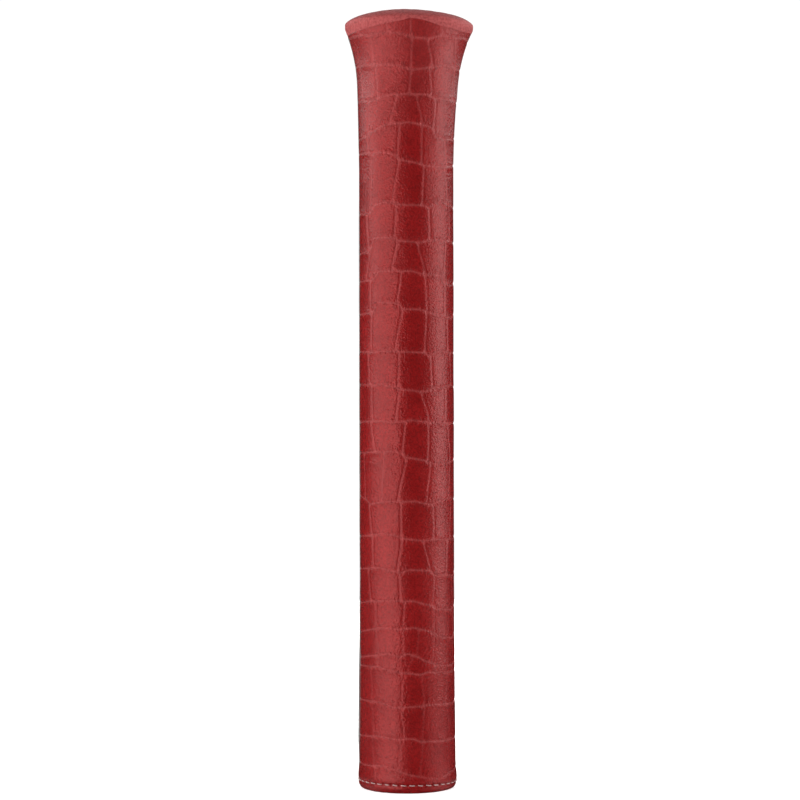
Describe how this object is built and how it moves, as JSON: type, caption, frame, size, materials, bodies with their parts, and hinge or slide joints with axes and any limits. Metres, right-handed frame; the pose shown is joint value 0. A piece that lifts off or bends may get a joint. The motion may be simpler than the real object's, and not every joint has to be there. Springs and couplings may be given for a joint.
{
  "type": "golf grip",
  "caption": "Non-tapering putter grip sleeved in embossed leather, flared to a rounded butt, hemmed at the mouth, with a bore for the shaft.",
  "frame": {"origin": "centre of the mouth's flat end face, which the grip stands on", "axes": "+Z along the shaft from the mouth to the butt; the sleeve's seam is on the -X side"},
  "size_m": [0.0444, 0.0444, 0.266],
  "materials": {
    "leather": "glossy crocodile-embossed leather, deep red",
    "backing": "dark grey woven backing cloth",
    "welt": "grey leather edge strip, matte",
    "thread": "pale waxed sewing thread",
    "butt_thread": "dark red sewing thread",
    "foam": "dark grey closed-cell foam",
    "nylon": "black moulded nylon",
    "rubber": "matte black moulded rubber"
  },
  "bodies": {
    "root": {"leather_wrap": "leather", "wrap_lining": "backing", "seam_strip": "backing", "seam_welt": "welt", "hem_thread": "thread", "hem_bobbin_thread": "thread", "butt_cap_leather": "leather", "butt_seam_thread": "butt_thread", "butt_cushion": "foam", "butt_plug": "nylon", "foam_core": "foam", "shaft_tube": "rubber", "mouth_ring": "rubber"}
  },
  "joints": []
}
